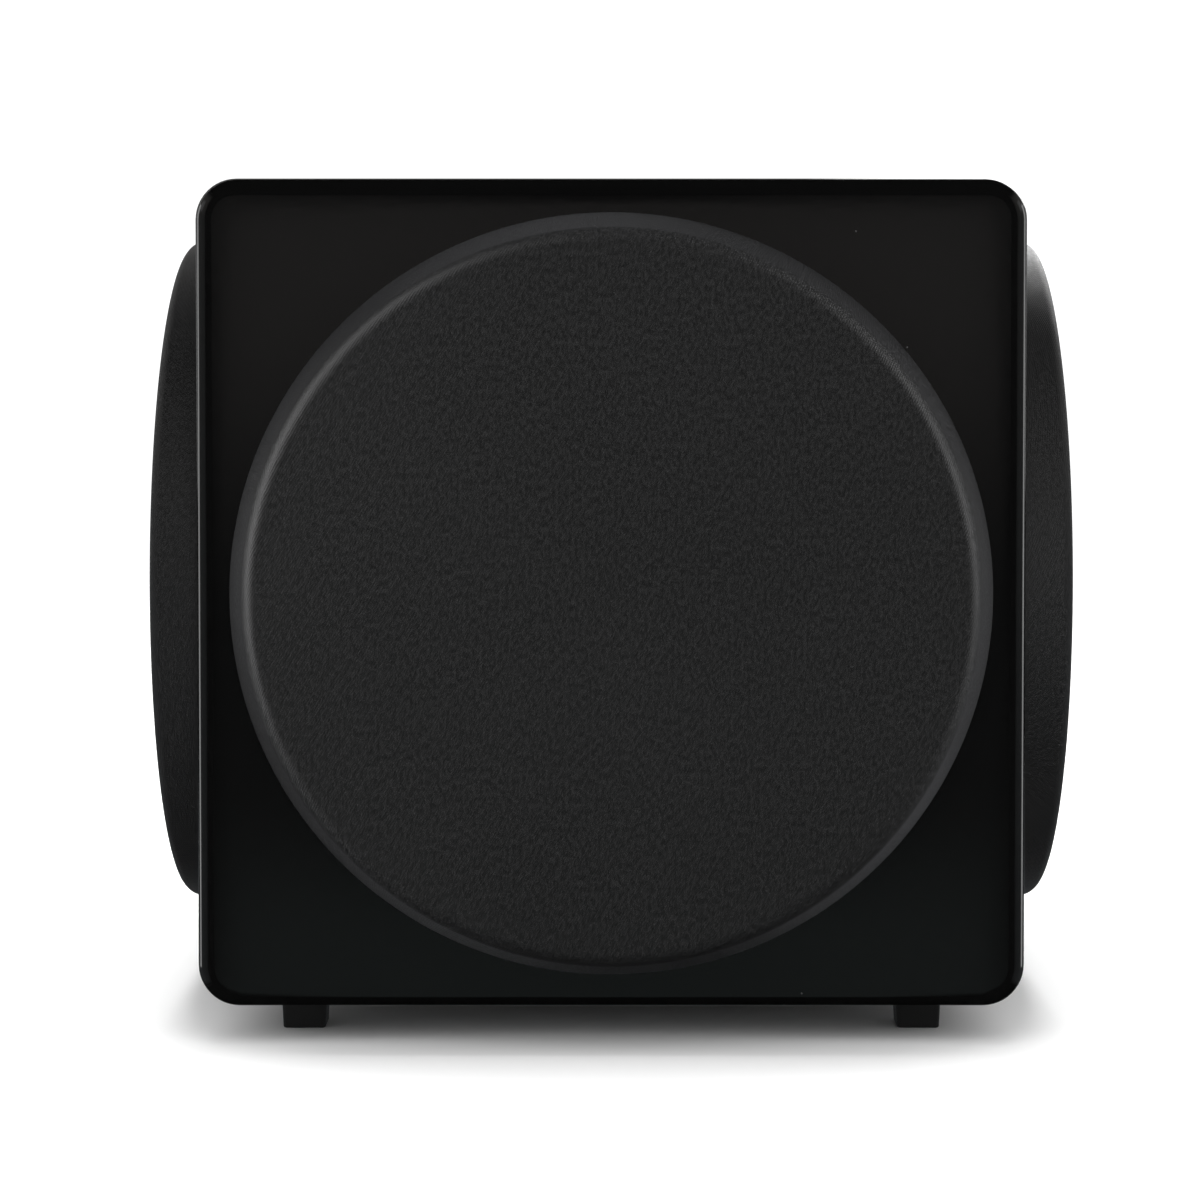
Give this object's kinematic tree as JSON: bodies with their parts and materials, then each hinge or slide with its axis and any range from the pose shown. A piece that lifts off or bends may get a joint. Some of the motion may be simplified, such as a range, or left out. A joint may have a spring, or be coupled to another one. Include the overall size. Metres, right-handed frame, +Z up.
{
  "type": "subwoofer",
  "caption": "Cube powered subwoofer with a round domed cloth grille on the front and on each side, rubber feet, passive radiators and a rear plate amplifier.",
  "frame": {"origin": "on the floor, under the middle of the whole object", "axes": "+Z up, the front grille faces -Y, +X to the right seen from the front"},
  "size_m": [0.364, 0.364, 0.334],
  "materials": {
    "lacquered_board": "gloss black lacquer on fibreboard",
    "raw_board": "bare fibreboard",
    "foot_rubber": "matte black rubber",
    "grille_cloth": "black knitted grille cloth",
    "grille_frame": "moulded black plastic",
    "soft_rubber": "satin black rubber",
    "foam": "closed-cell foam",
    "coated_basket": "cast alloy, black powder coat",
    "steel_screw": "black oxide",
    "bare_steel": "zinc-plated steel",
    "cone_paper": "black pressed pulp",
    "dome": "satin black dome",
    "coil_wire": "copper winding",
    "spider_cloth": "treated cotton weave",
    "ferrite": "ground ferrite",
    "lead_jacket": "black cable jacket",
    "black_plastic": "moulded black plastic",
    "amp_plate": "black anodised, fine brushed",
    "heat_sink": "black anodised extrusion",
    "circuit_board": "green solder mask",
    "transformer": "taped toroidal winding",
    "capacitor": "sleeved can",
    "knob": "soft-touch black",
    "lever": "light grey plastic",
    "gold_socket": "gold-plated brass",
    "socket_insert": "white insulator",
    "status_light": "clear blue lens"
  },
  "bodies": {
    "cabinet": {"amp_board": "circuit_board", "amp_capacitors": "capacitor", "amp_gasket": "foam", "amp_heatsink": "heat_sink", "amp_housing": "bare_steel", "amp_plate": "amp_plate", "amp_screws": "steel_screw", "amp_transformer": "transformer", "bottom_panel": "lacquered_board", "control_cases": "black_plastic", "driver_gaskets": "foam", "driver_screws": "steel_screw", "feet": "foot_rubber", "foot_screws": "bare_steel", "front_baffle": "lacquered_board", "grille_sockets": "soft_rubber", "inlet_pins": "bare_steel", "left_panel": "lacquered_board", "left_radiator_frame": "coated_basket", "line_sockets": "gold_socket", "magnet": "ferrite", "pole_yoke": "bare_steel", "power_inlet": "black_plastic", "rear_panel": "lacquered_board", "right_panel": "lacquered_board", "right_radiator_frame": "coated_basket", "rocker_case": "black_plastic", "socket_inserts": "socket_insert", "speaker_lead": "lead_jacket", "status_light": "status_light", "top_panel": "lacquered_board", "top_plate": "bare_steel", "window_brace": "raw_board", "woofer_basket": "coated_basket", "woofer_terminal": "black_plastic"},
    "woofer": {"woofer_cone": "cone_paper", "dust_cap": "dome", "voice_coil": "coil_wire", "woofer_surround": "soft_rubber", "spider": "spider_cloth"},
    "left_radiator": {"left_radiator_cone": "cone_paper", "left_radiator_weight": "bare_steel", "left_radiator_surround": "soft_rubber"},
    "right_radiator": {"right_radiator_cone": "cone_paper", "right_radiator_weight": "bare_steel", "right_radiator_surround": "soft_rubber"},
    "front_grille": {"front_grille_frame": "grille_frame", "front_grille_cloth": "grille_cloth"},
    "left_grille": {"left_grille_frame": "grille_frame", "left_grille_cloth": "grille_cloth"},
    "right_grille": {"right_grille_frame": "grille_frame", "right_grille_cloth": "grille_cloth"},
    "volume": {"volume_knob": "knob", "volume_shaft": "bare_steel"},
    "crossover": {"crossover_knob": "knob", "crossover_shaft": "bare_steel"},
    "phase": {"phase_lever": "lever"},
    "mode": {"mode_lever": "lever"},
    "rocker": {"power_rocker": "black_plastic"},
    "fuse": {"fuse_drawer": "black_plastic"}
  },
  "joints": [
    {"name": "woofer_stroke", "type": "slide", "parent": "cabinet", "child": "woofer", "axis": [0, -1, 0], "range_m": [-0.01, 0.01], "stiffness_N_per_m": 3500, "deforming": ["woofer_surround", "spider"]},
    {"name": "left_radiator_stroke", "type": "slide", "parent": "cabinet", "child": "left_radiator", "axis": [-1, 0, 0], "range_m": [-0.005, 0.005], "deforming": ["left_radiator_surround"]},
    {"name": "right_radiator_stroke", "type": "slide", "parent": "cabinet", "child": "right_radiator", "axis": [1, 0, 0], "range_m": [-0.005, 0.005], "deforming": ["right_radiator_surround"]},
    {"name": "front_grille_off", "type": "slide", "parent": "cabinet", "child": "front_grille", "axis": [0, -1, 0], "range_m": [0, 0.06]},
    {"name": "left_grille_off", "type": "slide", "parent": "cabinet", "child": "left_grille", "axis": [-1, 0, 0], "range_m": [0, 0.06]},
    {"name": "right_grille_off", "type": "slide", "parent": "cabinet", "child": "right_grille", "axis": [1, 0, 0], "range_m": [0, 0.06]},
    {"name": "volume_turn", "type": "hinge", "parent": "cabinet", "child": "volume", "pos_m": [-0.042, 0.171, 0.252], "axis": [0, 1, 0], "range_deg": [-150, 150]},
    {"name": "crossover_turn", "type": "hinge", "parent": "cabinet", "child": "crossover", "pos_m": [-0.088, 0.171, 0.252], "axis": [0, 1, 0], "range_deg": [-150, 150]},
    {"name": "phase_slide", "type": "slide", "parent": "cabinet", "child": "phase", "axis": [0, 0, 1], "range_m": [0, 0.004]},
    {"name": "mode_slide", "type": "slide", "parent": "cabinet", "child": "mode", "axis": [0, 0, 1], "range_m": [-0.003, 0.003]},
    {"name": "power_rock", "type": "hinge", "parent": "cabinet", "child": "rocker", "pos_m": [-0.065, 0.158, 0.138], "axis": [1, 0, 0], "range_deg": [0, 20]},
    {"name": "fuse_draw", "type": "slide", "parent": "cabinet", "child": "fuse", "axis": [0, 1, 0], "range_m": [0, 0.012]}
  ],
  "couplings": [
    {"joint": "left_radiator_stroke", "follows": "woofer_stroke", "ratio": -0.5},
    {"joint": "right_radiator_stroke", "follows": "woofer_stroke", "ratio": -0.5}
  ]
}
